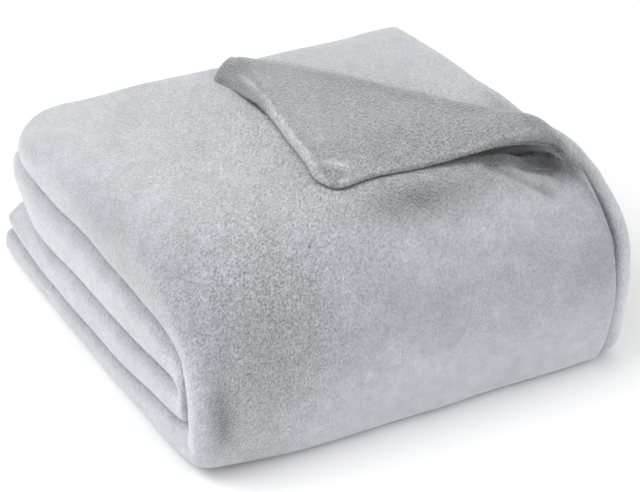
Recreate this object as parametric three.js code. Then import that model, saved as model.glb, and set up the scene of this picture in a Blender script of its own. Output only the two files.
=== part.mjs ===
import * as THREE from "three";

// A plush weighted blanket, one filled sheet with sewn edges, folded to a stack.
// It is laid in four layers from side to side, and these are folded once, front to back.
// The smooth front is the outside of that last fold, and the cut ends lie at the back.
// The outermost sheet's back right corner is turned over to the front left.
// Millimetres, Z up, the front faces -Y. The origin is the middle of the footprint,
// and the bottom lies flat at Z = 0. The tables are centred there at the end.

// Stack
const topBack = 220;
const bottomBack = 236;
const coreStep = 8;
const noseY = -252;
const coreTipY = -198;
const noseStartY = -100;
const rightSlope = 0.015;
const slopeFull = 100;
const rightShare = 0.5;
const leftToRight = { from: -190, to: 20 };
const leftEnd = { from: 120, to: 236 };
const rightEnd = { from: 150, to: 236 };

// Sheet
const layerThickness = [14.5, 19, 20, 20];
const rollGap = 1;
const slackGap = 1.5;
const hemRound = 9;
const hemShare = 0.3;
const hemX = 211;

// Turns of the side to side folds
const outerTurn = { x: -192, reach: 44 };
const innerTurn = { x: -202, reach: 35 };
const rightTurn = { x: 214, reach: 19 };
const turnRound = { pressed: 0.55, full: 0.85, height: 12 };
const turnSteps = 6;
const tightest = 3;

// The strip beyond the outermost sheet's side hem, where the next layer comes up
const stripRise = { from: 209, to: 216.5, under: 5 };
const stripX = [208, 211.5];

// Turned corner: its crease runs from the back hem to the side hem
const creaseBack = new THREE.Vector2(28, topBack);
const creaseSide = new THREE.Vector2(hemX, -178);
const cornerTip = new THREE.Vector2(-45, -137);
const creaseRadius = { back: 9, side: 13 };
const flapRest = { gap: 2.5, reach: 120 };
const flapOpen = { from: 20, to: 200, share: 0.6 };
const openingDip = { x: 192, y: -168, depth: 9, spread: 38 };
const cornerRound = { x: 9, y: 30 };
const cornerRise = { from: 4, to: 46, under: 0.5 };
const sameLine = 0.02;
const creaseCuts = [-26, -19, -12.5, -6, 0, 6, 12.5, 19, 26, 60];
const riseCuts = [6, 18, 30, 44];

// Front to back fold, a row per station from the top's back end round to the bottom's.
// y and z: outer face. leftCore and rightCore: height of the stack's middle at that row.
// leftShare: the part of the depth that the two inner layers take at the left end.
// leftIn and coreIn: how far the left end draws in, at the outside and in the middle.
// rightOut: how far the right end reaches out.
const profile = [
  { y: 220, z: 168, leftCore: 66, rightCore: 78, leftShare: 0.56, leftIn: 36, coreIn: 16, rightOut: 11.5 },
  { y: 216.5, z: 168.5, leftCore: 66, rightCore: 78, leftShare: 0.56, leftIn: 33, coreIn: 15, rightOut: 11.5 },
  { y: 211, z: 169.5, leftCore: 66, rightCore: 79, leftShare: 0.55, leftIn: 28, coreIn: 13, rightOut: 10.5 },
  { y: 182, z: 173, leftCore: 64, rightCore: 80, leftShare: 0.54, leftIn: 13, coreIn: 5, rightOut: 9.5 },
  { y: 150, z: 176, leftCore: 62, rightCore: 82, leftShare: 0.52, leftIn: 4, coreIn: 2, rightOut: 8.5 },
  { y: 110, z: 180, leftCore: 62, rightCore: 84, leftShare: 0.5, leftIn: 0, coreIn: 0, rightOut: 7.5 },
  { y: 70, z: 183, leftCore: 62, rightCore: 85, leftShare: 0.48, leftIn: 0, coreIn: 0, rightOut: 5.5 },
  { y: 30, z: 186, leftCore: 63, rightCore: 86, leftShare: 0.47, leftIn: 0, coreIn: 0, rightOut: 1 },
  { y: -10, z: 188, leftCore: 64, rightCore: 87, leftShare: 0.46, leftIn: 0, coreIn: 0, rightOut: -1 },
  { y: -50, z: 190, leftCore: 65, rightCore: 88, leftShare: 0.43, leftIn: 0, coreIn: 0, rightOut: -3 },
  { y: -85, z: 192, leftCore: 66, rightCore: 88, leftShare: 0.41, leftIn: 0, coreIn: 0, rightOut: -3 },
  { y: -115, z: 192, leftCore: 66, rightCore: 88, leftShare: 0.4, leftIn: 0, coreIn: 0, rightOut: 0 },
  { y: -145, z: 190, leftCore: 67, rightCore: 88, leftShare: 0.4, leftIn: 0, coreIn: 0, rightOut: 8 },
  { y: -172, z: 184, leftCore: 67, rightCore: 88, leftShare: 0.4, leftIn: 0, coreIn: 0, rightOut: 9 },
  { y: -196, z: 174, leftCore: 68, rightCore: 88, leftShare: 0.4, leftIn: 0, coreIn: 0, rightOut: 5 },
  { y: -216, z: 160, leftCore: 68, rightCore: 87, leftShare: 0.42, leftIn: 0, coreIn: 0, rightOut: 3 },
  { y: -232, z: 142, leftCore: 68, rightCore: 87, leftShare: 0.45, leftIn: 0, coreIn: 0, rightOut: 2 },
  { y: -243, z: 122, leftCore: 68, rightCore: 86, leftShare: 0.47, leftIn: 0, coreIn: 0, rightOut: 1 },
  { y: -249, z: 99, leftCore: 68, rightCore: 86, leftShare: 0.5, leftIn: 0, coreIn: 0, rightOut: 0 },
  { y: -252, z: 76, leftCore: 68, rightCore: 85, leftShare: 0.5, leftIn: 0, coreIn: 0, rightOut: 0 },
  { y: -251.5, z: 52, leftCore: 68, rightCore: 84, leftShare: 0.5, leftIn: 0, coreIn: 0, rightOut: 0 },
  { y: -251, z: 30, leftCore: 68, rightCore: 84, leftShare: 0.48, leftIn: 0, coreIn: 0, rightOut: 0 },
  { y: -248, z: 13, leftCore: 68, rightCore: 84, leftShare: 0.46, leftIn: 2, coreIn: 0, rightOut: 0 },
  { y: -240, z: 3, leftCore: 68, rightCore: 84, leftShare: 0.44, leftIn: 3, coreIn: 0, rightOut: 0 },
  { y: -225, z: 0, leftCore: 68, rightCore: 84, leftShare: 0.45, leftIn: 2, coreIn: 0, rightOut: 0 },
  { y: -165, z: 0, leftCore: 67, rightCore: 83, leftShare: 0.55, leftIn: 0, coreIn: 0, rightOut: 0 },
  { y: -90, z: 0, leftCore: 66, rightCore: 82, leftShare: 0.64, leftIn: 0, coreIn: 0, rightOut: 0 },
  { y: 0, z: 0, leftCore: 64, rightCore: 80, leftShare: 0.68, leftIn: 1, coreIn: 0, rightOut: 0 },
  { y: 110, z: 0, leftCore: 62, rightCore: 79, leftShare: 0.69, leftIn: 2, coreIn: 2, rightOut: 0 },
  { y: 190, z: 0, leftCore: 64, rightCore: 78, leftShare: 0.7, leftIn: 3, coreIn: 9, rightOut: 0 },
  { y: 226, z: 0, leftCore: 66, rightCore: 78, leftShare: 0.71, leftIn: 5, coreIn: 18, rightOut: 0 },
  { y: 232, z: 0, leftCore: 66, rightCore: 78, leftShare: 0.71, leftIn: 5, coreIn: 20, rightOut: 0 },
  { y: 236, z: 0, leftCore: 66, rightCore: 78, leftShare: 0.71, leftIn: 6, coreIn: 21, rightOut: 0 },
];
const lastTopRow = profile.findIndex((row) => row.y === noseY);

const lerp = THREE.MathUtils.lerp;
const smooth = THREE.MathUtils.smoothstep;

// A profile row between two stations, with its distance from the cut end.
function rowAt(j) {
  const low = Math.min(Math.floor(j), profile.length - 2);
  const a = profile[low];
  const b = profile[low + 1];
  const row = {};
  for (const key of Object.keys(a)) row[key] = lerp(a[key], b[key], j - low);
  row.round = lerp(turnRound.pressed, turnRound.full, smooth(row.z, 0, turnRound.height));
  row.top = j <= lastTopRow;
  row.hem = (row.top ? topBack : bottomBack) - row.y;
  return row;
}

// The row of the top or the front whose outer face lies at a depth y.
function topRowAt(y) {
  let j = 0;
  while (j < lastTopRow - 1 && profile[j + 1].y > y) j += 1;
  const share = (profile[j].y - y) / (profile[j].y - profile[j + 1].y);
  return rowAt(j + THREE.MathUtils.clamp(share, 0, 1));
}

// The stack's own shape at a width x: outer face, core and the two spacings of layers.
function frameAt(x, row) {
  const side = smooth(x, leftToRight.from, leftToRight.to);
  const core = lerp(row.leftCore, row.rightCore, side);
  const share = lerp(row.leftShare, rightShare, side);
  const squeeze = (coreTipY - noseStartY) / (noseY - noseStartY);
  const step = coreStep * smooth(row.y, noseStartY, topBack) * (row.top ? 1 : -1);
  const coreY = row.y < noseStartY ? noseStartY + (row.y - noseStartY) * squeeze : row.y + step;
  const z = row.z + rightSlope * x * Math.min(row.z / slopeFull, 1);
  const depth = Math.hypot(row.y - coreY, z - core);
  return {
    y: row.y,
    z,
    coreY,
    core,
    share,
    outerPitch: (depth * (1 - share)) / 2,
    innerPitch: (depth * share) / 2,
  };
}

// A point of the stack at a width x and a level, 0 on the outside to 4 in the middle.
function place(x, row, level) {
  const f = frameAt(x, row);
  const out = level < 2 ? 1 - ((1 - f.share) * level) / 2 : (f.share * (4 - level)) / 2;
  const inward = lerp(row.coreIn, row.leftIn, out ** 2) * smooth(-x, leftEnd.from, leftEnd.to);
  const outward = row.rightOut * smooth(x, rightEnd.from, rightEnd.to);
  return new THREE.Vector3(x + inward + outward, lerp(f.coreY, f.y, out), lerp(f.core, f.z, out));
}

// How full the sheet is at a distance from its sewn edge.
function fullness(distance) {
  const t = Math.min(distance / hemRound, 1);
  return hemShare + (1 - hemShare) * Math.sqrt(1 - (1 - t) ** 2);
}

// Distance of a plan point from the crease, over the corner, and its place along it.
const creaseLine = creaseSide.clone().sub(creaseBack);
const creaseLength = creaseLine.length();
const creaseAlong = creaseLine.clone().normalize();
const creaseOver = new THREE.Vector2(-creaseAlong.y, creaseAlong.x);
function fromCrease(x, y) {
  const p = new THREE.Vector2(x, y).sub(creaseBack);
  return { over: p.dot(creaseOver), along: p.dot(creaseAlong) };
}
const flatCorner = fromCrease(hemX, topBack);
const turnedCorner = fromCrease(cornerTip.x, cornerTip.y);

// A smooth hump, 1 at its middle, for a dent in the outermost layer.
function nearness(x, y, hump) {
  return Math.exp(-(((x - hump.x) / hump.spread) ** 2) - ((y - hump.y) / hump.spread) ** 2);
}

// Levels of both faces of the four layers. Face a is the stack's outside on the first.
function layerLevels(x, row) {
  const f = frameAt(x, row);
  const thick = layerThickness.map((t, k) => {
    const pitch = k < 2 ? f.outerPitch : f.innerPitch;
    return Math.min(t, pitch - slackGap) / pitch;
  });
  const gapOut = rollGap / f.outerPitch;
  const gapIn = rollGap / f.innerPitch;
  const dip = row.top ? openingDip.depth * nearness(x, row.y, openingDip) : 0;
  const sunk = dip / f.outerPitch;
  const levels = [
    { a: sunk, b: sunk + thick[0] },
    { a: 2 - gapOut, b: 2 - gapOut - thick[1] },
    { a: 2 + gapIn, b: 2 + gapIn + thick[2] },
    { a: 4 - gapIn, b: 4 - gapIn - thick[3] },
  ];
  const corner = row.top ? fromCrease(x, row.y).over : 0;
  const strip = smooth(x, stripRise.from, stripRise.to);
  const open = smooth(corner, cornerRise.from, cornerRise.to);
  const rise = 1 - (1 - strip) * (1 - open);
  const under = lerp(stripRise.under, cornerRise.under, open) / f.outerPitch;
  const lift = (levels[1].b - under) * rise;
  levels[1].a -= lift;
  levels[1].b -= lift;
  return levels;
}

// Both faces of a flat column.
function flatFaces(column, row) {
  const level = layerLevels(column.x, row)[column.layer];
  const middle = (level.a + level.b) / 2;
  const full = fullness(Math.min(row.hem, column.hem));
  return {
    a: place(column.x, row, lerp(middle, level.a, full)),
    b: place(column.x, row, lerp(middle, level.b, full)),
  };
}

// Both faces of a turn from one layer to the next.
function turnFaces(column, row) {
  const { turn, layer, angle, way } = column;
  const levels = layerLevels(turn.x, row);
  const first = levels[layer];
  const next = levels[layer + 1];
  const outside = way > 0 ? "b" : "a";
  const inside = way > 0 ? "a" : "b";
  const thick = (layerThickness[layer] + layerThickness[layer + 1]) / 2;
  const reach = { [outside]: turn.reach, [inside]: Math.max(turn.reach - thick, tightest) };
  const sine = Math.sin(angle) ** row.round;
  const cosine = Math.sign(Math.cos(angle)) * Math.abs(Math.cos(angle)) ** row.round;
  const full = fullness(row.hem);
  const at = (face) => {
    const level = lerp(next[face], first[face], (1 + cosine) / 2);
    return { x: turn.x + way * reach[face] * sine, level };
  };
  const a = at("a");
  const b = at("b");
  const x = (a.x + b.x) / 2;
  const level = (a.level + b.level) / 2;
  return {
    a: place(lerp(x, a.x, full), row, lerp(level, a.level, full)),
    b: place(lerp(x, b.x, full), row, lerp(level, b.level, full)),
  };
}

// The corner's own rounding, in the flat sheet.
function roundedCorner(x, y) {
  const u = (hemX - x) / cornerRound.x;
  const v = (topBack - y) / cornerRound.y;
  if (u >= 1 || v >= 1) return fromCrease(x, y);
  const scale = 1 - Math.max(1 - u, 1 - v) / Math.max(Math.hypot(1 - u, 1 - v), 1e-6);
  return fromCrease(x - (1 - u) * scale * cornerRound.x, y - (1 - v) * scale * cornerRound.y);
}

// Both faces of the outermost layer where its corner is turned over the crease.
function turnedFaces(column, row) {
  const flat = fromCrease(column.x, row.y);
  let bend = flat.over;
  let along = flat.along;
  if (bend > 0) {
    const rounded = roundedCorner(column.x, row.y);
    const share = rounded.over / flatCorner.over;
    bend = -share * turnedCorner.over;
    along = rounded.along + share * (turnedCorner.along - flatCorner.along);
  }
  const radius = lerp(creaseRadius.back, creaseRadius.side, smooth(along, 0, creaseLength));
  const quarter = (radius * Math.PI) / 2;
  if (bend <= -quarter) return null;
  const angle = THREE.MathUtils.clamp(bend / radius, -Math.PI / 2, Math.PI / 2);
  const across = bend < quarter ? -quarter + radius * Math.cos(angle) : -bend;
  const under = bend < quarter ? -quarter : -bend;
  const plan = (d) => creaseBack.clone().addScaledVector(creaseAlong, along).addScaledVector(creaseOver, d);
  const ground = plan(under);
  const groundRow = topRowAt(ground.y);
  const level = layerLevels(ground.x, groundRow)[0];
  const thick = level.b - level.a;
  const full = fullness(Math.min(row.hem, column.hem));
  const pitch = frameAt(ground.x, groundRow).outerPitch;
  const half = (thick * pitch * full) / 2;
  const rest = thick * pitch + flapRest.gap;
  const point = plan(across);
  const open = flapOpen.share * smooth(point.x, flapOpen.from, flapOpen.to);
  const far = smooth(bend - quarter, 0, flapRest.reach) * (1 - open);
  const rise = bend < quarter ? radius * (1 + Math.sin(angle)) : lerp(2 * radius, rest, far);
  const sunk = 1 - smooth(bend, -quarter, quarter);
  const base = place(ground.x, groundRow, thick / 2 + level.a * sunk).z;
  const face = (way) => {
    const p = point.clone().addScaledVector(creaseOver, -way * half * Math.cos(angle));
    return new THREE.Vector3(p.x, p.y, base + rise - way * half * Math.sin(angle));
  };
  return { a: face(1), b: face(-1) };
}

// Columns across the sheet, from the side hem of the outermost layer to the innermost's.
const flatX = [-160, -115, -65, -20, 20, 50, 80, 110, 138, 165, 190];
const flatEnd = 190;
const leastSpacing = 6;
function flatRun(layer, leftX, rightX, back) {
  const inside = flatX.filter((x) => x > leftX + leastSpacing && x < rightX - leastSpacing);
  const xs = [leftX, ...inside, rightX];
  if (back) xs.reverse();
  return xs.map((x) => ({ kind: "flat", layer, x, hem: hemX }));
}
function turnRun(layer, turn, way) {
  const steps = [];
  for (let i = 1; i < turnSteps; i += 1) {
    steps.push({ kind: "turn", layer, turn, way, angle: (Math.PI * i) / turnSteps });
  }
  return steps;
}
const hemSteps = [0, 3.5, hemRound];
const hemColumns = (layer) => hemSteps.map((d) => ({ kind: "flat", layer, x: hemX - d, hem: d }));
const columns = [
  ...hemColumns(0),
  ...flatRun(0, outerTurn.x, flatEnd, true),
  ...turnRun(0, outerTurn, -1),
  ...flatRun(1, outerTurn.x, flatEnd, false),
  ...[...stripX, rightTurn.x].map((x) => ({ kind: "flat", layer: 1, x, hem: hemX })),
  ...turnRun(1, rightTurn, 1),
  { kind: "flat", layer: 2, x: rightTurn.x, hem: hemX },
  ...flatRun(2, innerTurn.x, flatEnd, true),
  ...turnRun(2, innerTurn, -1),
  ...flatRun(3, innerTurn.x, flatEnd, false),
  ...hemColumns(3).reverse(),
];

// A column between two stations of one flat layer.
function columnAt(i) {
  const low = Math.floor(i);
  const a = columns[low];
  if (i === low) return a;
  const b = columns[low + 1];
  return { ...a, x: lerp(a.x, b.x, i - low), hem: lerp(a.hem, b.hem, i - low) };
}

function facesAt(i, j) {
  const column = columnAt(i);
  const row = rowAt(j);
  if (column.kind === "turn") return turnFaces(column, row);
  const turned = column.layer === 0 && row.top ? turnedFaces(column, row) : null;
  return turned ?? flatFaces(column, row);
}

// Cells of the sheet, cut along lines parallel to the crease where it bends there.
function cutCell(cell, value) {
  const parts = [[], []];
  cell.forEach((p, n) => {
    const q = cell[(n + 1) % cell.length];
    const a = value(p);
    const b = value(q);
    if (a <= 0) parts[0].push(p);
    if (a >= 0) parts[1].push(p);
    if (a * b < 0) {
      const t = a / (a - b);
      const cut = { i: lerp(p.i, q.i, t), j: lerp(p.j, q.j, t) };
      parts[0].push(cut);
      parts[1].push(cut);
    }
  });
  return parts.filter((part) => part.length > 2);
}
function cutsFor(i, j) {
  const a = columns[i];
  const b = columns[i + 1];
  const flat = a.kind === "flat" && b.kind === "flat" && a.layer === b.layer;
  if (!flat || j + 1 > lastTopRow) return [];
  if (a.layer === 0) return creaseCuts;
  return a.layer === 1 ? riseCuts : [];
}
function overAt(p) {
  return fromCrease(columnAt(p.i).x, rowAt(p.j).y).over;
}
const cells = [];
for (let i = 0; i + 1 < columns.length; i += 1) {
  for (let j = 0; j + 1 < profile.length; j += 1) {
    let parts = [[{ i, j }, { i, j: j + 1 }, { i: i + 1, j: j + 1 }, { i: i + 1, j }]];
    for (const cut of cutsFor(i, j)) {
      const scale = columns[i].layer === 0 && cut > 0 ? -flatCorner.over / turnedCorner.over : 1;
      const value = (p) => {
        const d = overAt(p) - cut * scale;
        return Math.abs(d) < sameLine ? 0 : d;
      };
      parts = parts.flatMap((part) => cutCell(part, value));
    }
    cells.push(...parts);
  }
}

// Where the cuts end on a column, the uncut cells beyond it take over their points.
const isWhole = (number) => Math.abs(number - Math.round(number)) < 1e-6;
const nameOf = (p) => `${p.i.toFixed(5)},${p.j.toFixed(5)}`;
const cutEnds = new Map();
for (const p of cells.flat()) {
  if (isWhole(p.i) && !isWhole(p.j)) cutEnds.set(nameOf(p), p);
}
function withCutEnds(cell) {
  if (cell.length !== 4 || !cell.every((p) => isWhole(p.i) && isWhole(p.j))) return cell;
  return cell.flatMap((p, n) => {
    const q = cell[(n + 1) % cell.length];
    const way = Math.sign(q.j - p.j);
    const between = [...cutEnds.values()].filter(
      (c) => p.i === q.i && Math.abs(c.i - p.i) < 1e-6 && (c.j - p.j) * way > 0 && (q.j - c.j) * way > 0,
    );
    return [p, ...between.sort((a, b) => (a.j - b.j) * way)];
  });
}

// A cell's points from the corner that gives the roundest triangles in a fan.
function fanOf(cell) {
  const areaOf = (a, b, c) => Math.abs((b.i - a.i) * (c.j - a.j) - (c.i - a.i) * (b.j - a.j));
  const turned = cell.map((_, n) => [...cell.slice(n), ...cell.slice(0, n)]);
  const least = (fan) => Math.min(...fan.slice(2).map((p, n) => areaOf(fan[0], fan[n + 1], p)));
  return turned.reduce((best, fan) => (least(fan) > least(best) + 1e-9 ? fan : best));
}

// The closed sheet: both faces of every cell and a band round its edge.
function sheetGeometry() {
  const numbers = new Map();
  const points = [];
  const numberOf = (p) => {
    const name = nameOf(p);
    if (!numbers.has(name)) {
      numbers.set(name, points.length / 2);
      const faces = facesAt(p.i, p.j);
      points.push(faces.a, faces.b);
    }
    return numbers.get(name);
  };
  const index = [];
  const edges = new Map();
  for (const cell of cells) {
    const ids = fanOf(withCutEnds(cell)).map(numberOf);
    for (let n = 1; n + 1 < ids.length; n += 1) {
      const [a, b, c] = [ids[0], ids[n], ids[n + 1]];
      index.push(2 * a, 2 * c, 2 * b);
      index.push(2 * a + 1, 2 * b + 1, 2 * c + 1);
    }
    ids.forEach((a, n) => {
      const b = ids[(n + 1) % ids.length];
      const back = `${b},${a}`;
      if (edges.has(back)) edges.delete(back);
      else edges.set(`${a},${b}`, [a, b]);
    });
  }
  for (const [a, b] of edges.values()) {
    index.push(2 * a, 2 * b, 2 * b + 1);
    index.push(2 * a, 2 * b + 1, 2 * a + 1);
  }
  const positions = points.flatMap((p) => [p.x, p.y, p.z]);
  const geometry = new THREE.BufferGeometry();
  geometry.setAttribute("position", new THREE.Float32BufferAttribute(positions, 3));
  geometry.setIndex(index);
  geometry.computeVertexNormals();
  geometry.computeBoundingBox();
  const centre = geometry.boundingBox.getCenter(new THREE.Vector3());
  geometry.translate(-centre.x, -centre.y, -geometry.boundingBox.min.z);
  return geometry;
}

const plush = new THREE.MeshStandardMaterial({ color: "#c3c5c9", roughness: 0.95 });
plush.name = "plush";
const blanket = new THREE.Mesh(sheetGeometry(), plush);
blanket.name = "blanket";

const part = new THREE.Group();
part.name = "weighted_blanket";
part.add(blanket);
export default part;
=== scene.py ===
import math
import bpy
import numpy as np
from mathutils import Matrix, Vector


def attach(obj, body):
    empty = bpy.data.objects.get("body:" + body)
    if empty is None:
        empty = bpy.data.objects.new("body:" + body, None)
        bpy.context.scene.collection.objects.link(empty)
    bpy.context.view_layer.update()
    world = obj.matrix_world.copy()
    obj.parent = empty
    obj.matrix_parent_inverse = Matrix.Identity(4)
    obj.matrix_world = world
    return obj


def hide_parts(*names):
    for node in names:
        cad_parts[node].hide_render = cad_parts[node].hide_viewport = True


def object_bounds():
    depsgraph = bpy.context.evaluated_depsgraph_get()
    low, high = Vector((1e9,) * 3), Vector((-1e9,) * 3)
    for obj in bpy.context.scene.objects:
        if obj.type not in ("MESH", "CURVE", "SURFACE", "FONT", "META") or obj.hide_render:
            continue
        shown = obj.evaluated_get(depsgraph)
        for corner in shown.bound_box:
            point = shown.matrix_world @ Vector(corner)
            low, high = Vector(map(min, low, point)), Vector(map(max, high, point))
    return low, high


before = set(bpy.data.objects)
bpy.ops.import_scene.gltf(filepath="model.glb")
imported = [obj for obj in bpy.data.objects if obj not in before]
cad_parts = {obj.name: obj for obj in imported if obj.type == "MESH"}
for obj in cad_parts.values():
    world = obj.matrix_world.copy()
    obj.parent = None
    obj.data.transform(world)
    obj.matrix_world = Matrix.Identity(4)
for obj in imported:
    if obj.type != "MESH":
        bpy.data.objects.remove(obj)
cadLow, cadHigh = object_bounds()
mm = 0.001
print("frame loaded:", sorted(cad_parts))


# small helpers

def smooth(x, start, end):
    # 3t^2 - 2t^3, where t goes from 0 at start to 1 at end
    t = np.clip((x - start) / (end - start), 0, 1)
    return t * t * (3 - 2 * t)


def mix(a, b, share):
    # a + (b - a) * share
    return a + (b - a) * share


def hump(x, y, middleX, middleY, spreadX, spreadY):
    # exp(-dx^2 - dy^2), with the distances in spreads: 1 in the middle, 0 far out
    return np.exp(-((x - middleX) / spreadX) ** 2 - ((y - middleY) / spreadY) ** 2)


def linearColour(code):
    # sRGB hex to linear: ((c + 0.055) / 1.055)^2.4, and c / 12.92 near black
    parts = [int(code[i:i + 2], 16) / 255 for i in (1, 3, 5)]
    return [c / 12.92 if c <= 0.04045 else ((c + 0.055) / 1.055) ** 2.4 for c in parts] + [1.0]


def throughStations(values, t):
    # a smooth curve through the stations: cubic Hermite between them, with the harmonic
    # mean of the two neighbouring steps as slope, and no slope where they turn
    step = np.diff(values)
    both = step[:-1] * step[1:]
    inner = np.where(both > 0, 2 * both / np.where(both > 0, step[:-1] + step[1:], 1), 0)
    slope = np.concatenate([step[:1], inner, step[-1:]])
    low = np.clip(np.floor(t).astype(int), 0, len(values) - 2)
    u = t - low
    return (values[low] * (1 + 2 * u) * (1 - u) ** 2 + slope[low] * u * (1 - u) ** 2
            + values[low + 1] * u ** 2 * (3 - 2 * u) + slope[low + 1] * u ** 2 * (u - 1))


# camera at the photo's angle, looking at a point of the surface behind the stack's middle

view = {"azimuth": -28.5, "elevation": 29.3, "distance": 2.238, "target": (0.0658, 0.0958, 0.0),
        "lens": 118.1, "sensor": 36.0}


def makeCamera(v):
    # place = target + distance * (sin a cos e, -cos a cos e, sin e)
    a, e = math.radians(v["azimuth"]), math.radians(v["elevation"])
    back = np.array([math.sin(a) * math.cos(e), -math.cos(a) * math.cos(e), math.sin(e)])
    data = bpy.data.cameras.new("camera")
    data.lens, data.sensor_width = v["lens"], v["sensor"]
    data.clip_start, data.clip_end = 0.05, 50
    camera = bpy.data.objects.new("camera", data)
    camera.location = np.array(v["target"]) + back * v["distance"]
    camera.rotation_euler = (math.pi / 2 - e, 0, a)
    bpy.context.scene.collection.objects.link(camera)
    bpy.context.scene.camera = camera


makeCamera(view)
print("camera placed")


# the blanket: one filled sheet, folded as its solid is, in millimetres until the end

stack = {  # the stack's own sizes; its core is the plane between the two halves of the fold
    "topBack": 220, "bottomBack": 236, "coreStep": 8, "noseY": -252, "coreTipY": (-216, -198),
    "noseStartY": -100, "rightSlope": 0.015, "slopeFull": 100, "rightShare": 0.5,
    "leftToRight": (-190, 20), "leftEnd": (120, 236), "rightEnd": (150, 236),
}
# front to back fold, from the top's back end round the front to the bottom's back end: the
# outer face's y and z, the core's height at the left and the right, the inner two layers'
# share of the depth at the left, how far the left end is drawn in outside and at the core,
# and how far the right end is let out
profileNames = ("y", "z", "leftCore", "rightCore", "leftShare", "leftIn", "coreIn", "rightOut")
profileRows = np.array([
    (220, 168, 76, 78, 0.63, 36, 16, 11.5),
    (216.5, 168.5, 76, 78, 0.63, 33, 15, 11.5),
    (211, 169.5, 76, 79, 0.62, 28, 13, 10.5),
    (182, 173, 74, 80, 0.605, 13, 5, 9.5),
    (150, 176, 72, 82, 0.58, 4, 2, 8.5),
    (110, 180, 72, 84, 0.555, 0, 0, 7.5),
    (70, 183, 72, 85, 0.53, 0, 0, 5.5),
    (30, 186, 73, 86, 0.52, 0, 0, 1),
    (-10, 188, 74, 87, 0.51, 0, 0, -1),
    (-50, 190, 75, 88, 0.475, 0, 0, -3),
    (-85, 192, 76, 88, 0.455, 0, 0, -3),
    (-115, 192, 77, 88, 0.435, 0, 0, 0),
    (-145, 190, 78, 88, 0.42, 0, 0, 8),
    (-172, 184, 80, 88, 0.435, 0, 0, 9),
    (-196, 174, 82, 88, 0.46, 0, 0, 5),
    (-216, 160, 84, 87, 0.49, 0, 0, 3),
    (-232, 142, 86, 87, 0.53, 0, 0, 2),
    (-243, 122, 86, 86, 0.45, 0, 0, 1),
    (-249, 99, 86, 86, 0.35, 0, 0, 0),
    (-252, 76, 86, 85, 0.30, 0, 0, 0),
    (-251.5, 52, 86, 84, 0.30, 0, 0, 0),
    (-251, 30, 86, 84, 0.31, 0, 0, 0),
    (-248, 13, 86, 84, 0.37, 2, 0, 0),
    (-240, 3, 84, 84, 0.42, 3, 0, 0),
    (-225, 0, 82, 84, 0.42, 4, 0, 0),
    (-165, 0, 77, 83, 0.455, 4, 0, 0),
    (-90, 0, 75, 82, 0.535, 4, 0, 0),
    (0, 0, 74, 80, 0.575, 4, 0, 0),
    (110, 0, 72, 79, 0.59, 5, 2, 0),
    (190, 0, 73, 78, 0.60, 6, 9, 0),
    (226, 0, 75, 78, 0.61, 7, 18, 0),
    (232, 0, 75, 78, 0.61, 7, 20, 0),
    (236, 0, 75, 78, 0.61, 8, 21, 0),
])
noseStation = 19  # the foremost row
cloth = {  # the filled sheet itself
    "thickness": (14.5, 19, 20, 20), "rollGap": 1, "slackGap": 1.5,
    "hemX": 211, "hemRound": 5, "hemPower": 3.2, "hemShare": 0.15,
}
turns = {  # side to side folds
    "outer": {"x": -192, "reach": 44, "way": -1},
    "right": {"x": 214, "reach": 19, "way": 1},
    "inner": {"x": -202, "reach": 35, "way": -1},
    "pressed": 0.48, "full": 0.55, "fullHeight": 12, "tightest": 3,
}
strip = {"from": 209, "to": 216.5, "under": 5}
corner = {  # the turned corner; where two values are ends, a change runs from one to the other
    # its crease on the flat sheet, and where its point comes to lie
    "back": (28, 220), "side": (211, -178), "tip": (-45, -137),
    # radius of the turn at both ends of the crease, and what it gains at the side
    "radiusBack": 9, "radiusSide": 13, "radiusGain": 5, "gainFrom": (0.7, 0.95),
    # how thick the corner is towards its front hem and its left hem
    "overFull": 30, "round": 5, "power": 2.4, "share": 0.2, "leftRound": (4.5, 3, 0.4),
    "taper": 60, "taperShare": 0.32, "leftShare": 0.6, "settle": 0.85,
    "seam": (9, 2.2, 1.3), "seamFrom": 30,
    # the lifted stretch of the front hem, and where its underside comes down again
    "liftFrom": (225, 325), "liftTo": (400, 440), "lift": -0.5, "curl": 26,
    "closed": (11, 42), "closedFrom": (190, 260), "closedTurn": (-1, 1), "closedGap": 0.8,
    # the front hem's bow
    "drawn": 60, "drawnTip": 8, "drawnFront": 22, "drawnTo": 110, "drawnEnd": (210, 380),
    # the spread end of the left hem
    "lobe": {"from": (26, 33), "to": (34, 122), "hem": 8, "slope": 15, "pinch": (8, 2.2, 4)},
    # how the corner sinks to rest, and how it stays open to the right
    "gap": 2.5, "reach": 120, "openFrom": 20, "openTo": 200, "openShare": 0.3,
    # the rounded point
    "roundX": 15, "roundY": 34,
    # the next layer's rise beyond the crease
    "riseFrom": 4, "riseTo": 30, "riseUnder": 0.5,
    "sinkShare": 0.6, "sinkAt": (222, -68), "sinkReach": (34, 42),
}
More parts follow.
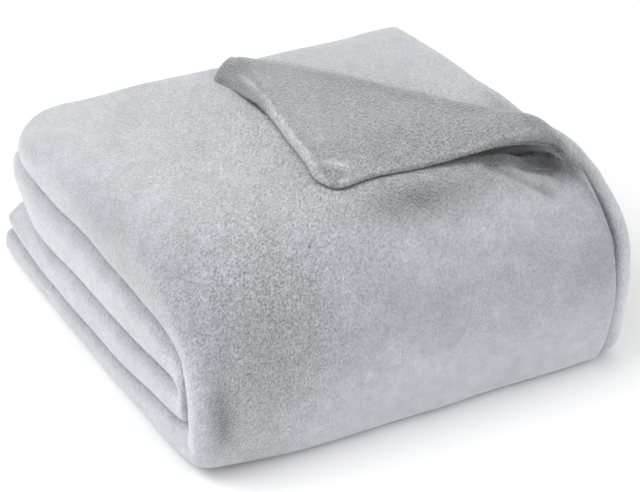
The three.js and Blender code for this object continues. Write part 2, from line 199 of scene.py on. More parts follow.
# the left hem's edge spreads at the crease's back end: place along it, out to the left, down
lobeRows = np.array([
    (26, 0, 0), (32, 30, 6), (38, 41, 12), (46, 42, 13), (51, 33, 10), (57, 22, 7), (63, 17, 6),
    (69, 14, 5), (76, 12, 5), (83, 9.5, 5), (90, 7, 5), (97, 4, 4.5), (104, 2, 4.5), (111, 1, 4),
    (118, 1, 3.5), (132, 1, 2), (148, 1, 1.5), (165, 0.5, 1), (180, 1, 0.5), (197, 0, 0), (211, -1, 0),
], float)
dent = {"x": 192, "y": -168, "depth": 9, "spread": 38}  # below the turned corner's right end
grid = {  # spacing of the points in millimetres, twice as close along the stretch named fine
    "column": 4.6, "row": 4.3, "fine": (345, 402), "hidden": 24, "least": 2,
    "turn": 14, "underColumns": 12,
    "hem": (0, 0.5, 1.2, 2.3, 4, 6, 8, 10, 12, 14.5, 17.5), "strip": (206, 208.5, 210, 211.5, 212.8),
    "seenTo": 24, "samples": 6000, "topSamples": 2000,
}
noHem = 1000.0  # a distance from the hem at which the cloth is full


def rowsAlong():
    # rows at even steps of the outer face's length, close together at the hems and in the
    # hollow, far apart below; each holds the table's columns, and its distance from a hem
    fine = np.linspace(0, len(profileRows) - 1, grid["samples"] + 1)
    y, z = (throughStations(profileRows[:, k], fine) for k in (0, 1))
    length = np.concatenate([[0], np.cumsum(np.hypot(np.diff(y), np.diff(z)))])
    under = np.interp(grid["seenTo"], fine, length)
    seen = np.linspace(0, under, int(under / grid["row"]) + 1)
    between = (seen[1:] + seen[:-1]) / 2
    between = between[(between > grid["fine"][0]) & (between < grid["fine"][1])]
    below = np.linspace(under, length[-1], int((length[-1] - under) / grid["hidden"]) + 2)[1:]
    hem = np.array(grid["hem"])
    clear = hem[-1] + grid["least"]
    places = np.unique(np.concatenate([
        hem, seen[seen > clear], between, below[below < length[-1] - clear], length[-1] - hem]))
    t = np.interp(places, length, fine)
    row = {name: throughStations(profileRows[:, k], t)[None, :] for k, name in enumerate(profileNames)}
    row["z"] = np.maximum(row["z"], 0)
    row["top"] = (t <= noseStation)[None, :]
    row["hem"] = np.minimum(places, length[-1] - places)[None, :]
    row["round"] = mix(turns["pressed"], turns["full"], smooth(row["z"], 0, turns["fullHeight"]))
    row["along"] = places[None, :]
    return row


def frameAt(x, row):
    # outer face, core and spacings of the layers at width x: the core runs beside the
    # outer face, drawn in at the front by a fixed ratio, and half the depth is two layers
    side = smooth(x, *stack["leftToRight"])
    core = mix(row["leftCore"], row["rightCore"], side)
    share = mix(row["leftShare"], stack["rightShare"], side)
    start = stack["noseStartY"]
    squeeze = (mix(*stack["coreTipY"], side) - start) / (stack["noseY"] - start)
    back = stack["coreStep"] * smooth(row["y"], start, stack["topBack"]) * np.where(row["top"], 1, -1)
    coreY = np.where(row["y"] < start, start + (row["y"] - start) * squeeze, row["y"] + back)
    z = row["z"] + stack["rightSlope"] * x * np.minimum(row["z"] / stack["slopeFull"], 1)
    depth = np.hypot(row["y"] - coreY, z - core)
    return {"z": z, "core": core, "coreY": coreY, "share": share,
            "outerPitch": depth * (1 - share) / 2, "innerPitch": depth * share / 2}


def place(x, row, level):
    # point at level 0 (outside) to 4 (core): a straight line from the outer face to the
    # core, with the ends drawn in at the left and let out at the right
    f = frameAt(x, row)
    out = np.where(level < 2, 1 - (1 - f["share"]) * level / 2, f["share"] * (4 - level) / 2)
    inward = mix(row["coreIn"], row["leftIn"], out ** 2) * smooth(-x, *stack["leftEnd"])
    outward = row["rightOut"] * smooth(x, *stack["rightEnd"])
    y = mix(f["coreY"], row["y"], out)
    z = mix(f["core"], f["z"], out)
    return np.stack(np.broadcast_arrays(x + inward + outward, y, z), -1)


def fullness(distance, reach=cloth["hemRound"], p=cloth["hemPower"], least=cloth["hemShare"]):
    # 1 inside, falling to the least share at the sewn edge along (1 - (1 - t)^p)^(1/p)
    t = np.clip(distance / reach, 0, 1)
    return least + (1 - least) * (1 - (1 - t) ** p) ** (1 / p)


creaseBack, creaseSide = np.array(corner["back"], float), np.array(corner["side"], float)
creaseLength = np.linalg.norm(creaseSide - creaseBack)
creaseAlong = (creaseSide - creaseBack) / creaseLength
creaseOver = np.array([-creaseAlong[1], creaseAlong[0]])


def fromCrease(x, y):
    # distance over the crease line, towards the corner, and distance along it
    dx, dy = x - creaseBack[0], y - creaseBack[1]
    return dx * creaseOver[0] + dy * creaseOver[1], dx * creaseAlong[0] + dy * creaseAlong[1]


def layerLevels(x, row):
    # levels of faces a and b of the four layers; the second comes up to the outside
    # beyond the first one's side hem and beyond the crease
    f = frameAt(x, row)
    dip = np.where(row["top"], dent["depth"] * hump(x, row["y"], dent["x"], dent["y"],
                                                    dent["spread"], dent["spread"]), 0)
    sunk = dip / f["outerPitch"]
    thick = []
    for k, t in enumerate(cloth["thickness"]):
        pitch = f["outerPitch"] if k < 2 else f["innerPitch"]
        thick.append(np.minimum(t, pitch - cloth["slackGap"]) / pitch)
    gapOut, gapIn = cloth["rollGap"] / f["outerPitch"], cloth["rollGap"] / f["innerPitch"]
    over, _ = fromCrease(x, row["y"])
    opened = smooth(np.where(row["top"], over, 0), corner["riseFrom"], corner["riseTo"])
    opened *= 1 - corner["sinkShare"] * hump(x, row["y"], *corner["sinkAt"], *corner["sinkReach"])
    rise = 1 - (1 - smooth(x, strip["from"], strip["to"])) * (1 - opened)
    under = mix(strip["under"], corner["riseUnder"], opened) / f["outerPitch"]
    a1, b1 = 2 - gapOut, 2 - gapOut - thick[1]
    lift = (b1 - under) * rise
    return [(sunk, sunk + thick[0]), (a1 - lift, b1 - lift),
            (2 + gapIn, 2 + gapIn + thick[2]), (4 - gapIn, 4 - gapIn - thick[3])]


def flatFaces(layer, x, hem, row):
    # both faces of flat columns, brought together at the hems
    a, b = layerLevels(x, row)[layer]
    middle, full = (a + b) / 2, fullness(np.minimum(row["hem"], hem))
    return place(x, row, mix(middle, a, full)), place(x, row, mix(middle, b, full))


def turnFaces(turn, layer, angle, row):
    # both faces of a turn: x = x0 + reach * sin(angle)^q, level from one layer to the
    # next by cos(angle)^q, a superellipse whose power q grows fuller away from the floor
    levels = layerLevels(np.full_like(angle, turn["x"]), row)
    first, second = levels[layer], levels[layer + 1]
    thick = (cloth["thickness"][layer] + cloth["thickness"][layer + 1]) / 2
    tight = max(turn["reach"] - thick, turns["tightest"])
    reach = (tight, turn["reach"]) if turn["way"] > 0 else (turn["reach"], tight)
    sine = np.sin(angle) ** row["round"]
    cosine = np.sign(np.cos(angle)) * np.abs(np.cos(angle)) ** row["round"]
    xs = [turn["x"] + turn["way"] * r * sine for r in reach]
    hs = [mix(second[k], first[k], (1 + cosine) / 2) for k in (0, 1)]
    middleX, middleH, full = (xs[0] + xs[1]) / 2, (hs[0] + hs[1]) / 2, fullness(row["hem"])
    return tuple(place(mix(middleX, xs[k], full), row, mix(middleH, hs[k], full)) for k in (0, 1))


def topRowAt(y):
    # the row whose outer face lies at depth y on the top or the front
    fine = np.linspace(0, noseStation, grid["topSamples"] + 1)
    t = np.interp(-y, -throughStations(profileRows[:, 0], fine), fine)
    row = {name: throughStations(profileRows[:, k], t) for k, name in enumerate(profileNames)}
    row["top"] = np.full(y.shape, True)
    return row


def roundedCorner(x, y):
    # a point of the flat sheet, moved in so that the sheet's corner is an ellipse's quarter
    u, v = (cloth["hemX"] - x) / corner["roundX"], (stack["topBack"] - y) / corner["roundY"]
    inside = (u < 1) & (v < 1)
    far = np.maximum(np.hypot(1 - u, 1 - v), 1e-6)
    scale = np.where(inside, 1 - np.maximum(1 - u, 1 - v) / far, 0)
    return fromCrease(x - (1 - u) * scale * corner["roundX"], y - (1 - v) * scale * corner["roundY"])


def laidBack(x, y):
    # each point's distance over the crease after it is turned, and its place along the
    # crease: a straight map of the flat corner that brings its point to the tip
    over, along = fromCrease(x, y)
    cornerOver, cornerAlong = fromCrease(cloth["hemX"], stack["topBack"])
    tipOver, tipAlong = fromCrease(*corner["tip"])
    roundOver, roundAlong = roundedCorner(x, y)
    share = roundOver / cornerOver
    bend = np.where(over > 0, -share * tipOver, over)
    return over, bend, np.where(over > 0, roundAlong + share * (tipAlong - cornerAlong), along)


def turnedFaces(x, hem, row):
    # both faces of the outermost layer over the crease: half a turn whose radius grows
    # to the right, then the corner laid back over the stack, sinking to rest on it
    y, x = np.broadcast_arrays(row["y"], x)
    over, bend, along = laidBack(x, y)
    radius = mix(corner["radiusBack"], corner["radiusSide"], smooth(along, 0, creaseLength))
    radius = radius + corner["radiusGain"] * smooth(along / creaseLength, *corner["gainFrom"])
    quarter = radius * math.pi / 2
    angle = np.clip(bend / radius, -math.pi / 2, math.pi / 2)
    turned = np.clip((bend + quarter) / (2 * quarter), 0, 1)
    across = np.where(bend < quarter, -quarter + radius * np.cos(angle), -bend)
    under = np.where(bend < quarter, -quarter + 2 * quarter * turned * (1 - turned), -bend)
    groundX, groundY = (creaseBack[k] + creaseAlong[k] * along + creaseOver[k] * under for k in (0, 1))
    pointX, pointY = (creaseBack[k] + creaseAlong[k] * along + creaseOver[k] * across for k in (0, 1))
    ground = topRowAt(groundY)
    a, b = layerLevels(groundX, ground)[0]
    pitch = frameAt(groundX, ground)["outerPitch"]
    # the corner thins towards both hems
    length, laid = row["along"], smooth(over, 0, corner["overFull"])
    lifted = smooth(length, *corner["liftFrom"]) * (1 - smooth(length, *corner["liftTo"]))
    inFront, inLeft = smooth(hem, 0, corner["taper"]), smooth(row["hem"], 0, corner["taper"])
    least = np.minimum(mix(corner["taperShare"], 1, inFront), mix(corner["leftShare"], 1, inLeft))
    frontHem = mix(fullness(hem), fullness(hem, corner["round"], corner["power"], corner["share"]), laid)
    leftHem = mix(fullness(row["hem"]), fullness(row["hem"], *corner["leftRound"]), laid)
    half = (b - a) * pitch * leftHem * frontHem * mix(1, least, laid * (1 - lifted)) / 2
    thin = (b - a) * pitch / 2 - half
    # it sinks to rest on the layer below by what it lost, but for the lifted stretch
    curl = smooth(-hem, -corner["curl"], 0) * laid * lifted * corner["lift"]
    settle = thin * (1 - inFront * inLeft) * laid * mix(corner["settle"], 0, lifted) - curl
    rest = (b - a) * pitch + corner["gap"]
    opened = corner["openShare"] * smooth(pointX, corner["openFrom"], corner["openTo"])
    far = smooth(bend - quarter, 0, corner["reach"]) * (1 - opened)
    rise = np.where(bend < quarter, radius * (1 + np.sin(angle)), mix(2 * radius, rest, far))
    sunk = 1 - smooth(bend, -quarter, quarter)
    base = place(groundX, ground, (b - a) / 2 + a * sunk)[..., 2]
    # a seam runs along the left hem as a low ridge
    at, width, height = corner["seam"]
    seam = height * np.exp(-((row["hem"] - at) / width) ** 2) * laid * smooth(hem, 0, corner["seamFrom"])
    # at the crease's back end the hem spreads to the left, with a pinch above the spread part
    lobe = corner["lobe"]
    spread = smooth(x, *lobe["from"]) * (1 - np.interp(x, lobe["to"], (0, 1))) * laid
    edge = laid * np.clip(1 - row["hem"] / lobe["hem"], 0, 1)
    slope = laid * np.clip(1 - row["hem"] / lobe["slope"], 0, 1)
    out, down = (e * np.interp(x, lobeRows[:, 0], lobeRows[:, k]) for k, e in ((1, edge), (2, slope)))
    pinchAt, pinchWidth, pinchDepth = lobe["pinch"]
    pinch = spread * pinchDepth * np.exp(-((row["hem"] - pinchAt) / pinchWidth) ** 2)
    drop = down + pinch + settle
    # the front hem is drawn back, in a shallow bow
    bow = mix(corner["drawnTip"], corner["drawnFront"], smooth(length, 0, corner["drawnTo"]))
    bow = bow * (1 - smooth(length, *corner["drawnEnd"])) * smooth(-hem, -corner["drawn"], 0) * laid
    # behind the lifted hem the underside comes down to the layer below it
    shut = smooth(length, *corner["closedFrom"]) * smooth(hem, *corner["closed"])
    shut = shut * smooth(angle, *corner["closedTurn"])
    faces = []
    for way in (1, -1):
        side = -way * half * np.cos(angle)
        z = base + rise - way * half * np.sin(angle) - drop + seam * (way < 0)
        if way > 0:
            z = mix(z, np.minimum(z, base + half + corner["closedGap"]), shut)
        faces.append(np.stack([pointX + creaseOver[0] * side - out,
                               pointY + creaseOver[1] * side + bow, z], -1))
    return bend > -quarter, faces


def flatColumns(hemX, leftX, step):
    # x of flat columns from the hem at the right to the left, close together at the hem
    xs = np.linspace(hemX, leftX, int((hemX - leftX) / step) + 1)
    hem = np.array(grid["hem"])
    return np.concatenate([hemX - hem, xs[xs < hemX - hem[-1] - grid["least"]]])


def foldedSheet():
    # both faces of the whole sheet as grids of points, columns across, rows along, with the
    # rows, and each column's layer and place: its width x, or the angle in a turn
    row = rowsAlong()
    hemX = cloth["hemX"]
    outer, right, inner = turns["outer"], turns["right"], turns["inner"]
    pairs, named = [], []

    def addFlat(layer, xs, hem):
        x = xs[:, None]
        a, b = flatFaces(layer, x, hem[:, None], row)
        if layer == 0:
            turned, (ta, tb) = turnedFaces(x, hem[:, None], row)
            turned = (turned & row["top"])[..., None]
            a, b = np.where(turned, ta, a), np.where(turned, tb, b)
        pairs.append((a, b))
        named.append(np.stack([np.full(len(xs), layer), xs], -1))

    def addTurn(turn, layer):
        angle = np.linspace(0, math.pi, grid["turn"] + 2)[1:-1]
        pairs.append(turnFaces(turn, layer, angle[:, None], row))
        named.append(np.stack([np.full(len(angle), layer + 0.5), angle], -1))

    xs = flatColumns(hemX, outer["x"], grid["column"])
    addFlat(0, xs, hemX - xs)
    addTurn(outer, 0)
    stripFrom = grid["strip"][0]
    xs = np.concatenate([np.linspace(outer["x"], 0, grid["underColumns"])[:-1],
                         np.linspace(0, stripFrom, int(stripFrom / grid["column"])),
                         grid["strip"][1:], [right["x"]]])
    addFlat(1, xs, np.full_like(xs, noHem))
    addTurn(right, 1)
    xs = np.linspace(right["x"], inner["x"], int((right["x"] - inner["x"]) / grid["hidden"]))
    addFlat(2, xs, np.full_like(xs, noHem))
    addTurn(inner, 2)
    xs = flatColumns(hemX, inner["x"], grid["hidden"])[::-1]
    addFlat(3, xs, hemX - xs)
    a, b = (np.concatenate([pair[k] for pair in pairs], 0) for k in (0, 1))
    return a, b, row, np.concatenate(named)


def closedSheet(a, b):
    # triangles of both faces, and a band that joins them round the edge; the diagonals
    # run the way of the crease
    nc, nr = a.shape[:2]
    number = np.arange(nc * nr).reshape(nc, nr)
    p, q, r, s = number[:-1, :-1], number[:-1, 1:], number[1:, 1:], number[1:, :-1]
    faceA = np.concatenate([np.stack(corners, -1).reshape(-1, 3) for corners in ((p, s, q), (s, r, q))])
    faceB = faceA[:, ::-1] + nc * nr
    loop = np.concatenate([number[0, :-1], number[:-1, -1], number[-1, :0:-1], number[:0:-1, 0]])
    after = np.roll(loop, -1)
    rim = np.concatenate([np.stack([loop, after, after + nc * nr], -1),
                          np.stack([loop, after + nc * nr, loop + nc * nr], -1)])
    return np.concatenate([a.reshape(-1, 3), b.reshape(-1, 3)]), np.concatenate([faceA, faceB, rim])


def meshFrom(name, points, triangles):
    mesh = bpy.data.meshes.new(name)
    mesh.vertices.add(len(points))
    mesh.vertices.foreach_set("co", points.astype(np.float32).ravel())
    mesh.loops.add(triangles.size)
    mesh.loops.foreach_set("vertex_index", triangles.astype(np.int32).ravel())
    mesh.polygons.add(len(triangles))
    mesh.polygons.foreach_set("loop_start", np.arange(0, triangles.size, 3, dtype=np.int32))
    mesh.update(calc_edges=True)
    mesh.validate()
    mesh.shade_smooth()
    return mesh


# from here on all places are the part's own, in millimetres

# creases laid in: both ends (x, y, z), half width, height outwards, share of tone
# added, and the face that shows it, 0 for the outside and 1 for the turned corner
# the share of tone is painted shade in the troughs, slits and gaps, and a painted highlight on the
# ridges, along the corner's left hem and on the corner's lump
creases = np.array([
    (121, -143, 190, 158, -187, 172, 8, -5, -0.4, 0),
    (138, -130, 191, 176, -158, 178, 5, 3.5, 0.2, 0),
    (-238, -205, 42, -236, -210, 14, 4, -2, -0.15, 0),
    (-238, -217, 40, -234, -224, 12, 3, -2, -0.15, 0),
    (-238, -211, 40, -236, -217, 14, 3, 1.2, 0.1, 0),
    (-238, -188, 40, -236, -192, 20, 4, -1.2, -0.1, 0),
    (158, -148, 185, 192, -160, 180, 12, -7, -0.3, 0),
    (98, -140, 191, 109, -166, 187, 8, -2.5, -0.1, 0),
    (10, -138, 190, 34, -174, 181, 12, -2, -0.06, 0),
    (166, -148, 210, 171, -128, 215, 3.5, -3, -0.2, 1),
    (-34, -94, 200, -26, -106, 200, 9, 4, -0.1, 1),
    (-47, -112, 198, -34, -122, 198, 5, -2.5, -0.35, 1),
    (-26, -90, 202, -14, -98, 202, 5.5, 2, 1, 1),
    (-28, -124, 198, -20, -122, 198, 5, 1.5, 0.5, 1),
    (12, 184, 184, -3, 140, 187, 3.5, -2.5, -0.5, 1),
    (-3, 140, 187, -8, 122, 186, 3, -1.5, -0.3, 1),
    (12, 165, 185, 4, 130, 189, 3, 1.5, 0.35, 1),
    (4, 130, 189, -8, 72, 194, 3, 1.5, 0.3, 1),
    (-8, 72, 194, -18, 16, 200, 3, 1, 0.3, 1),
    (-18, 16, 200, -35, -75, 204, 3, 1, 0.2, 1),
    (-14, 174, 182, -3, 138, 182, 3.5, -3, -0.5, 0),
    (-3, 138, 182, -4, 70, 184, 4, -6, -0.6, 0),
    (-4, 70, 184, -22, -40, 188, 3.5, -3, -0.5, 0),
    (118, -118, 193, 147, -131, 191, 3.2, -2, -0.6, 0),
    (147, -131, 191, 158, -131, 191, 2.8, -4, -0.7, 0),
    (158, -131, 191, 171, -136, 190, 2.8, -4, -0.7, 0),
    (171, -136, 190, 181, -152, 194, 2.8, -4, -0.7, 0),
    (181, -152, 194, 189, -167, 196, 3, -3, -0.6, 0),
    (15, -118, 193, 90, -128, 194, 6, 0, -0.3, 0),
], float)
# soft waves of the filled sheet, as a bend of the space it lies in: direction of the wave,
# direction it pushes, wavelength, push and phase
waves = np.array([
    (1, 0.3, 0.2, 0, 0, 1, 150, 0.4, 0.3),
    (0.2, 1, 0.3, 0, 0, 1, 230, 0.3, 1.9),
    (0.8, -0.6, 0.1, 0, 0.5, 1, 78, 0.3, 4.1),
    (0.3, 0.2, 1, 0, 1, 0, 95, 0.7, 2.2),
    (1, 0.1, 0.5, 0, 1, 0.2, 110, 0.6, 5.2),
    (0.1, 1, 0.4, 1, 0, 0, 145, 0.3, 0.8),
    (0.2, 1, 0.9, 1, 0, 0, 82, 0.25, 3.3),
    (0.9, 0.5, 0.7, 0.2, 0.8, 0.4, 55, 0.2, 1.1),
], float)
waveFull = 60  # height at which upright waves have their full size
# single pulls of that space: middle, reach and push (x, y, z each), and the first and
# last layer that follow
pulls = np.array([
    (192, -150, 190, 22, 50, 45, -13, 0, -4, 1, 4),
    (232, -165, 168, 30, 35, 35, -2, 0, -1, 1, 4),
    (222, -132, 187, 22, 28, 25, -4, 0, -2, 1, 4),
    (222, 75, 185, 40, 90, 40, -3, 0, -3, 1, 4),
    (168, -140, 222, 22, 25, 15, 0, 0, 3.5, 0, 0.3),
    (186, -166, 208, 28, 22, 20, -2, 0, -7, 0, 0.3),
    (206, -185, 175, 20, 60, 60, -4, 0, 0, 0, 0.3),
    (206, -235, 120, 20, 40, 60, -4, 0, 0, 0, 0.3),
    (-236, 238, 45, 60, 50, 40, -5, 8, 0, 0, 4),
    (-240, -245, 0, 60, 50, 45, 0, 4, 8, 0, 4),
    (-236, 240, 78, 60, 60, 22, 24, -6, -7, 0, 4),
    (-215, 212, 165, 30, 50, 28, 4, 0, -6, 0, 4),
    (215, -245, -5, 40, 60, 55, -17, 0, 0, 0, 4),
    (232, -225, 18, 18, 70, 28, 0, -3, -9, 1, 4),
], float)
# the pile's tone in soft patches: painted shade in hollows, grooves and on the left end's top roll,
# painted light on the strip, the top, the front's lower part and the left end's lower rolls, a painted
# highlight on the front-left edge, and a few other lighter and darker patches; middle, reach (x, y, z
# each), share of tone added
napShadeAndLightPatches = np.array([
    # painted shade in front of the turned corner's front hem
    (34, -156, 187, 72, 30, 25, -0.54),
    (22, -160, 186, 60, 25, 25, -0.15),
    # painted light on the right end's strip, against the shade beside it
    (218, -232, 90, 10, 40, 90, 0.3),
    # painted shade on the left end's top roll
    (-238, -60, 160, 40, 120, 30, -0.3),
    # painted light on the front's lower part, as from the floor, and on the left end's lower rolls
    (0, -245, 35, 400, 60, 60, 0.2),
    (-235, 0, 90, 50, 250, 50, 0.16),
    (170, -245, 110, 60, 30, 50, -0.13),
    (130, 150, 195, 130, 90, 30, -0.07),
    # painted light over the top
    (-70, 0, 190, 160, 190, 40, 0.21),
    # painted light on the strip
    (240, -205, 120, 22, 90, 110, 0.4),
    (15, -60, 200, 30, 160, 12, 0.08),
    # painted highlight along the front-left edge
    (-237, -232, 100, 11, 36, 60, 0.4),
    (-214, -243, 66, 12, 30, 34, -0.75),
    (-236, -182, 48, 8, 8, 8, -0.3),
    # painted shade in the hollow below the corner's right end and along the groove between the front and
    # the strip
    (192, -170, 182, 22, 16, 16, -0.45),
    (198, -176, 186, 7, 10, 12, -0.5),
    (202, -192, 175, 6, 10, 12, -0.5),
    (204, -206, 163, 6, 10, 12, -0.5),
    (206, -222, 146, 5, 12, 16, -0.45),
], float)
# the same on the outermost layer's faces beyond the crease, all painted shade under the turned corner's
# right end and on the left hem's spread end:
# across and along the flat sheet, the reach of both, share of tone added, and the face
faceShadePatches = np.array([
    (207, 375, 11, 48, -0.42, 0),
    (192, 388, 18, 26, -0.2, 0),
    (207, 440, 7, 45, -0.15, 0),
    (60, 0, 45, 7, -0.45, 1),
], float)
# the turned corner's darker nap, with painted shade on and below the corner and painted highlights on
# its hems
cornerNapAndShade = {  # factors of the pile's tone on the turned corner and below it
    # the corner's face, darker for its nap, from its left hem inwards, and how far along it the hem
    # stays lighter, painted light on the hem's side that faces the lamp
    "tone": 0.65, "hem": (3, 8), "lobe": (100, 125),
    # its underside beyond the crease, painted shade
    "under": 0.22, "over": (5, 15),
    # place, width and share added: painted shade beside the crease, a painted highlight along the left
    # hem's ridge and along the front hem's edge
    "crestShade": (18, 12, -0.25), "ridge": (6, 2, 0.35), "fringeHighlight": (2, 1.6, 0.3),
    # painted shade on the cloth below it, from just outside the hems, and from further in at the left
    # front
    "below": 0.55, "edge": (-1, 3), "leftIn": 5, "leftFrom": (0, 70), "lobeTo": 32, "frontTo": 400,
}
# how rough the pile lies, in the same patches: smooth at the left end, rough on the corner
roughPatches = np.array([
    (-150, -200, 170, 90, 90, 70, 0.65),
    (-60, -60, 190, 130, 120, 40, 0.4),
    (-170, -240, 90, 60, 60, 90, 0.6),
    (80, -60, 205, 150, 160, 25, 0.95),
    (60, -245, 20, 220, 40, 45, -0.3),
    (-20, 100, 180, 120, 110, 30, 0.4),
    (120, -240, 90, 150, 60, 100, 0.06),
], float)
roughGround = 0.3
# the creases' painted shade goes no darker than this factor
deepestCreaseShade = 0.2  # the least factor that creases leave


def outward(points):
    # unit normal of a face's grid of points: cross product of its steps both ways
    n = np.cross(np.gradient(points, axis=0), np.gradient(points, axis=1))
    return n / np.maximum(np.linalg.norm(n, axis=-1, keepdims=True), 1e-9)


def toSegment(p, start, end):
    # distance of points from a line between two ends
    way = end - start
    t = np.clip(((p - start) @ way) / (way @ way), 0, 1)
    return np.linalg.norm(p - start - t[..., None] * way, axis=-1)


def creased(a, b, layer):
    # both faces pushed along the normal by height * exp(-(distance / width)^2), and the painted shade
    # and highlights that the creases add to the tone, the same way
    push = np.zeros_like(a)
    creaseShading = [np.zeros(a.shape[:2]), np.zeros(a.shape[:2])]
    outermost = (layer < 0.9)[:, None]
    for face, points, way in ((0, a, 1), (1, b, -1)):
        normal = outward(points) * way
        for crease in creases[creases[:, 9] == face]:
            start, end, (width, height, share) = crease[:3], crease[3:6], crease[6:9]
            fade = outermost * np.exp(-(toSegment(points, start, end) / width) ** 2)
            push += normal * (height * fade)[..., None]
            creaseShading[face] += share * fade
    return a + push, b + push, creaseShading


def bent(p, layer):
    # sum of the waves' push * sin(2 pi * distance along the wave / wavelength + phase),
    # upright ones fading out at the floor, then each pull * exp(-distance^2 in reaches)
    out = p.copy()
    for wave in waves:
        direction, pushed, (length, size, phase) = wave[:3], wave[3:6], wave[6:9]
        at = p @ (direction / np.linalg.norm(direction))
        push = (size * np.sin(2 * math.pi * at / length + phase))[..., None] * pushed
        push[..., 2] *= smooth(p[..., 2], 0, waveFull)
        out += push
    for pull in pulls:
        middle, reach, pushed, (first, last) = pull[:3], pull[3:6], pull[6:9], pull[9:11]
        fade = np.exp(-(((p - middle) / reach) ** 2).sum(-1))
        out += (fade * ((layer >= first) & (layer <= last))[:, None])[..., None] * pushed
    return out


def patched(p, table, ground):
    # ground + the shares of the patches, each fading as exp(-distance^2 in reaches)
    total = np.full(p.shape[:-1], float(ground))
    for patch in table:
        middle, reach, share = patch[:3], patch[3:6], patch[6]
        total += share * np.exp(-(((p - middle) / reach) ** 2).sum(-1))
    return total


def band(x, at, width, share):
    # share * exp(-((x - at) / width)^2)
    return share * np.exp(-((x - at) / width) ** 2)


def cornerFactors(a, b, row, named, c):
    # factors of the tone on the outermost layer's two faces, 1 before the crease: painted shade and
    # highlights, and the turned corner's darker nap
    flatX, along, layer = named[:, 1][:, None], row["along"], named[:, 0]
    isTurned = (layer < 0.3)[:, None] & row["top"]
    over, _ = fromCrease(flatX, row["y"])
    factors = []
    for face in (0, 1):
        mine = faceShadePatches[faceShadePatches[:, 5] == face]
        factors.append(1 + isTurned * sum(patch[4] * hump(flatX, along, *patch[:4]) for patch in mine))
    # painted shade on the turned corner's underside, beyond the crease
    factors[0] = factors[0] * mix(1, c["under"], isTurned * smooth(over, *c["over"]))
    # the cloth under the turned corner is in the dark: right of its left hem, behind its
    # front hem, and at the left hem's front part only from a little further in
    left = b[(layer < 0.3) & (named[:, 1] > c["lobeTo"]), 0]
    left = left[np.argsort(left[:, 1])]
    front = b[0, row["along"][0] < c["frontTo"]]
    front = front[np.argsort(front[:, 0])]
    leftIn = c["leftIn"] * (1 - smooth(a[..., 1], *c["leftFrom"]))
    coveredShade = (smooth(a[..., 0] - leftIn - np.interp(a[..., 1], left[:, 1], left[:, 0]), *c["edge"])
              * smooth(a[..., 1] - np.interp(a[..., 0], front[:, 0], front[:, 1]), *c["edge"]))
    factors[0] = factors[0] * mix(1, c["below"], coveredShade * isTurned * (over < 0))
    # the turned corner's face is darker for its nap but for its left hem, kept lighter as painted light
    # on its lit side; a painted highlight runs along the left hem's ridge, as it does along the front
    # hem's edge, and painted shade lies beside the crease
    darker = np.maximum(smooth(along, *c["hem"]), 1 - smooth(flatX, *c["lobe"]))
    hemHighlights = band(along, *c["ridge"]) + band(cloth["hemX"] - flatX, *c["fringeHighlight"])
    ridge = 1 + hemHighlights + band(over, *c["crestShade"])
    factors[1] = factors[1] * mix(1, mix(1, c["tone"], darker) * ridge, isTurned)
    return factors


def addAttribute(thing, name, values):
    layer = thing.data.attributes.new(name, "FLOAT", "POINT")
    layer.data.foreach_set("value", values.astype(np.float32))


def makeBlanket():
    # the folded sheet, creased and bent, set down on the floor, with its tone, which holds painted shade
    # and light, and roughness
    a, b, row, named = foldedSheet()
    # the tables' origin isn't the footprint's middle: the left end and the back give the shift
    outer = turns["outer"]
    leftEnd = outer["x"] - outer["reach"]
    shift = np.array([cadLow.x / mm - leftEnd, cadHigh.y / mm - stack["bottomBack"], 0])
    a, b, creaseShading = creased(a + shift, b + shift, named[:, 0])
    a, b = bent(a, named[:, 0]), bent(b, named[:, 0])
    points, triangles = closedSheet(a, b)
    points[:, 2] -= points[:, 2].min()
    thing = bpy.data.objects.new("plush_blanket", meshFrom("plush_blanket", points * mm, triangles))
    bpy.context.scene.collection.objects.link(thing)
    # the tone: the turned corner's nap, with painted shade and highlights from the corner, the creases
    # and the patches
    factors = np.array(cornerFactors(a, b, row, named, cornerNapAndShade))
    factors *= np.maximum(1 + np.array(creaseShading), deepestCreaseShade)
    tone = patched(points, napShadeAndLightPatches, 1) * factors.ravel()
    addAttribute(thing, "tone", tone)
    addAttribute(thing, "rough", np.clip(patched(points, roughPatches, roughGround), 0, 1))
    print("blanket:", len(points), "points,", len(triangles), "triangles")
    return thing


blanket = makeBlanket()


# materials

def addNode(material, kind, settings, inputs):
    # adds a node, sets its properties, and sets or links its inputs by name or number
    node = material.node_tree.nodes.new(kind)
    for name, value in settings.items():
        setattr(node, name, value)
    for name, value in inputs.items():
        if isinstance(value, bpy.types.NodeSocket):
            material.node_tree.links.new(value, node.inputs[name])
        else:
            node.inputs[name].default_value = value
    return node


plush = {  # short polyester pile; lengths of the pattern in metres
    "colour": "#a7a8ae", "roughness": 0.95, "sheen": 0.85, "sheenRoughness": 0.5,
    "grain": 0.0019, "clump": 0.0045, "clumpShare": 0.15, "stroke": 0.012, "patch": 0.05,
    "grainDepth": 0.006, "grainShade": 0.8, "strokeShade": 0.12, "patchShade": 0.1,
    "napAngle": 61, "napStretch": 2.2,
}


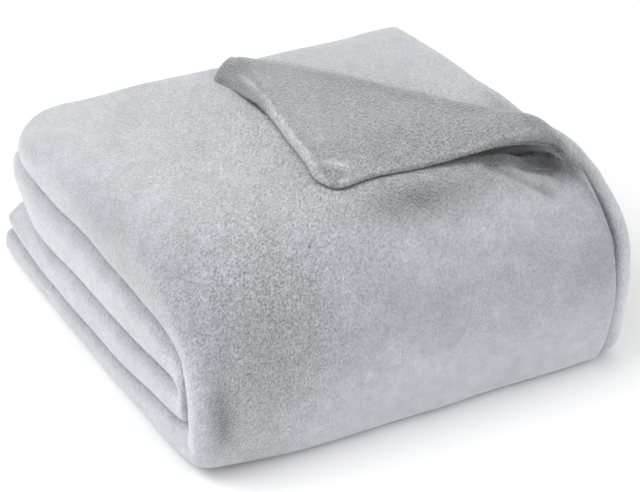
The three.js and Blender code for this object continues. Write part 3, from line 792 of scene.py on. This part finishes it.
def plushPile(p):
    # brushed polyester pile: a soft light rim where it is seen flat on, and tufts that lie
    # in patches, so that one colour looks lighter and darker
    material = bpy.data.materials.new("polyester_plush")
    material.use_nodes = True
    shader = material.node_tree.nodes["Principled BSDF"]
    shader.inputs["Roughness"].default_value = p["roughness"]
    shader.inputs["Sheen Weight"].default_value = p["sheen"]
    shader.inputs["Sheen Roughness"].default_value = p["sheenRoughness"]
    # the nap runs to the back, so tufts look longer that way
    place = addNode(material, "ShaderNodeTexCoord", {}, {}).outputs["Object"]
    turned = addNode(material, "ShaderNodeMapping", {}, {
        "Vector": place, "Rotation": (0, 0, -math.radians(p["napAngle"]))}).outputs["Vector"]
    here = addNode(material, "ShaderNodeMapping", {}, {
        "Vector": turned, "Scale": (1 / p["napStretch"], 1, 1)}).outputs["Vector"]
    tone, rough = (addNode(material, "ShaderNodeAttribute", {"attribute_name": name}, {}).outputs["Fac"]
                   for name in ("tone", "rough"))

    def calculate(operation, *values):
        inputs = dict(enumerate(values))
        return addNode(material, "ShaderNodeMath", {"operation": operation}, inputs).outputs["Value"]

    def noise(size, detail, roughness):
        return addNode(material, "ShaderNodeTexNoise", {}, {
            "Vector": here, "Scale": 1 / size, "Detail": detail, "Roughness": roughness}).outputs["Fac"]

    def shade(value, depth, factor):
        # factor * (1 + depth * (4 * value - 2))
        step = addNode(material, "ShaderNodeMapRange", {}, {
            "Value": value, "From Min": 0.25, "From Max": 0.75,
            "To Min": 1 - depth, "To Max": 1 + depth})
        return calculate("MULTIPLY", factor, step.outputs["Result"])

    grain = addNode(material, "ShaderNodeMix", {"data_type": "FLOAT"}, {
        "Factor": p["clumpShare"], "A": noise(p["grain"], 2, 0.7), "B": noise(p["clump"], 1, 0.5)})
    height = calculate("MULTIPLY", calculate("SUBTRACT", grain.outputs["Result"], 0.5), rough)
    # the tone attribute brings the painted shade and light laid on the sheet into the base colour,
    # besides the nap's own patches
    factor = calculate("MULTIPLY", tone, calculate("MULTIPLY_ADD", height, 4 * p["grainShade"], 1))
    factor = shade(noise(p["stroke"], 3, 0.6), p["strokeShade"], factor)
    factor = shade(noise(p["patch"], 3, 0.55), p["patchShade"], factor)
    colour = addNode(material, "ShaderNodeVectorMath", {"operation": "SCALE"}, {
        0: linearColour(p["colour"])[:3], "Scale": factor})
    bump = addNode(material, "ShaderNodeBump", {}, {
        "Height": height, "Distance": p["grainDepth"], "Strength": 1.0})
    material.node_tree.links.new(colour.outputs["Vector"], shader.inputs["Base Color"])
    material.node_tree.links.new(bump.outputs["Normal"], shader.inputs["Normal"])
    return material


blanket.data.materials.append(plushPile(plush))
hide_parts("blanket")
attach(blanket, "root")


# floor and lights

studio = {
    "floor": 8.0, "floorColour": "#f7f7f7", "floorRoughness": 0.9, "sky": 0.9, "target": (0, 0, 0.1),
    "key": {"place": (-1.9, 0.5, 2.2), "size": 1.6, "power": 42},
    "fill": {"place": (0.8, -2.6, 1.6), "size": 2.0, "power": 10},
}


def makeFloor(s):
    # a square of matt paper, white like the photo's ground
    half = s["floor"] / 2
    corners = [(-half, -half, 0), (half, -half, 0), (half, half, 0), (-half, half, 0)]
    mesh = bpy.data.meshes.new("floor")
    mesh.from_pydata(corners, [], [(0, 1, 2, 3)])
    floor = bpy.data.objects.new("floor", mesh)
    bpy.context.scene.collection.objects.link(floor)
    material = bpy.data.materials.new("matt_paper")
    material.use_nodes = True
    shader = material.node_tree.nodes["Principled BSDF"]
    shader.inputs["Base Color"].default_value = linearColour(s["floorColour"])
    shader.inputs["Roughness"].default_value = s["floorRoughness"]
    mesh.materials.append(material)


def areaLight(name, lamp, target):
    # a square soft box, turned so that it faces the target
    data = bpy.data.lights.new(name, "AREA")
    data.energy, data.size = lamp["power"], lamp["size"]
    light = bpy.data.objects.new(name, data)
    light.location = lamp["place"]
    x, y, z = np.array(target, float) - np.array(lamp["place"], float)
    light.rotation_euler = (math.atan2(math.hypot(x, y), -z), 0, math.atan2(y, x) - math.pi / 2)
    bpy.context.scene.collection.objects.link(light)


def makeSky(strength):
    world = bpy.data.worlds.new("studio")
    bpy.context.scene.world = world
    world.use_nodes = True
    background = world.node_tree.nodes["Background"]
    background.inputs["Color"].default_value = (1, 1, 1, 1)
    background.inputs["Strength"].default_value = strength


makeFloor(studio)
for name in ("key", "fill"):
    areaLight(name, studio[name], studio["target"])
makeSky(studio["sky"])
bpy.context.scene.view_settings.view_transform = "Standard"
print("floor and lights placed")
